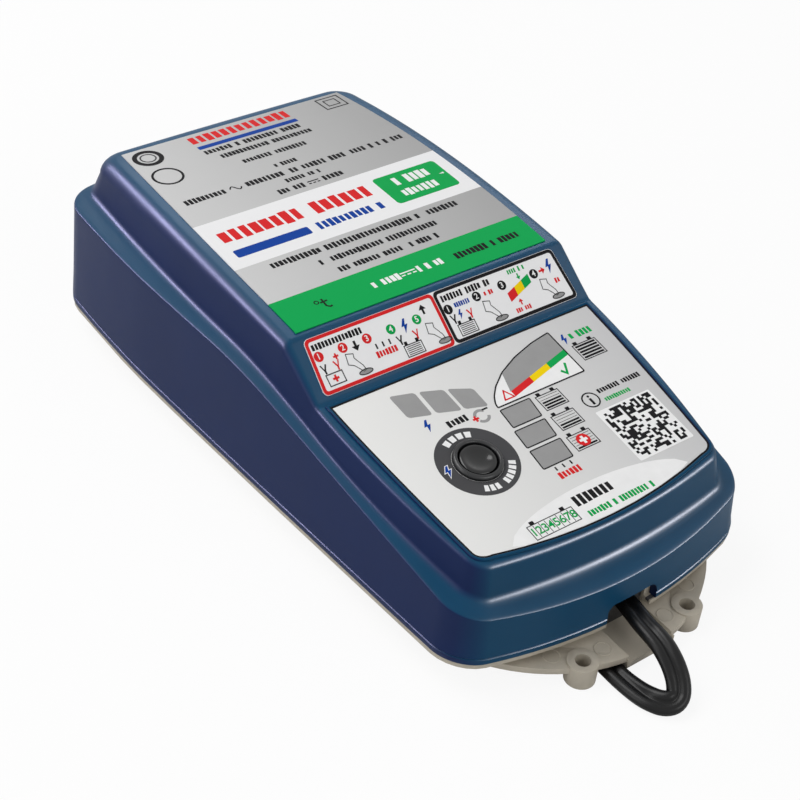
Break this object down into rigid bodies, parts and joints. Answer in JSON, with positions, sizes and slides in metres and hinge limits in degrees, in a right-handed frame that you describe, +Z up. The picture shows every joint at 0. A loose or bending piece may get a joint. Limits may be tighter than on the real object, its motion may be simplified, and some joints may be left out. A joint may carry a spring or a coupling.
{
  "type": "car battery charger",
  "caption": "Wedge-shaped car battery charger with a sloping display panel and push button, on a flanged tray with fixing holes, with its flat twin output lead.",
  "frame": {"origin": "on the floor under the middle of the charger, without its lead", "axes": "+X across the case, +Y along it towards the mains end, +Z up"},
  "size_m": [0.1541, 0.2834, 0.0593],
  "materials": {
    "case_blue": "satin, fine grain",
    "tray_grey": "fine matt",
    "seal_rubber": "matt",
    "screw_steel": "zinc plated",
    "label_silver": "satin print",
    "label_white": "satin print",
    "button_rubber": "satin",
    "plunger_red": "satin",
    "switch_black": "satin",
    "guide_clear": "milky",
    "led_white": "milky",
    "board_green": "solder mask",
    "ribbon_grey": "matt",
    "sheet_cream": "matt",
    "gland_black": "matt",
    "terminal_green": "satin",
    "wire_brown": "satin",
    "wire_red": "satin",
    "fuse_glass": "clear",
    "brass": "bright",
    "ferrite": "matt ceramic",
    "copper": "enamelled wire",
    "film_yellow": "satin",
    "part_black": "matt moulding",
    "capacitor_blue": "sleeve",
    "capacitor_green": "sleeve",
    "aluminium": "mill",
    "winding_yellow": "tape",
    "bobbin_black": "matt",
    "coupler_white": "matt",
    "sensor_blue": "gloss",
    "cord_black": "smooth",
    "plug_black": "satin",
    "pin_metal": "nickel plated"
  },
  "bodies": {
    "charger": {"upper_case": "case_blue", "base_tray": "tray_grey", "case_seal": "seal_rubber", "case_screws": "screw_steel", "rating_label": "label_silver", "instruction_label": "label_white", "display_overlay": "label_silver", "button_bezel": "button_rubber", "tact_switch": "switch_black", "light_guide": "guide_clear", "status_leds": "led_white", "display_board": "board_green", "display_screws": "screw_steel", "ribbon_cable": "ribbon_grey", "main_board": "board_green", "board_screws": "screw_steel", "insulation_sheet": "sheet_cream", "mains_gland": "gland_black", "mains_terminal": "terminal_green", "mains_wires": "wire_brown", "mains_fuse": "fuse_glass", "fuse_clips": "brass", "noise_filter_core": "ferrite", "noise_filter_coils": "copper", "film_capacitor": "film_yellow", "bridge_rectifier": "part_black", "main_capacitor": "capacitor_blue", "primary_heat_sink": "aluminium", "secondary_heat_sink": "aluminium", "power_transistor": "part_black", "output_rectifier": "part_black", "transformer_core": "ferrite", "transformer_winding": "winding_yellow", "transformer_bobbin": "bobbin_black", "output_choke": "copper", "output_capacitors": "capacitor_green", "controller_chip": "part_black", "optocoupler": "coupler_white", "temperature_sensor": "sensor_blue", "output_terminal": "terminal_green", "output_wires": "wire_red", "strain_relief": "seal_rubber", "lead_run": "cord_black", "lead_hank": "cord_black", "lead_tie": "plug_black", "plug_shell": "plug_black", "plug_pins": "pin_metal"},
    "button": {"mode_button": "button_rubber", "switch_plunger": "plunger_red"}
  },
  "joints": [
    {"name": "button_press", "type": "slide", "parent": "charger", "child": "button", "axis": [0, 0.153, -0.9882], "range_m": [0, 0.0005], "stiffness_N_per_m": 4000, "springref_m": -0.0003}
  ]
}
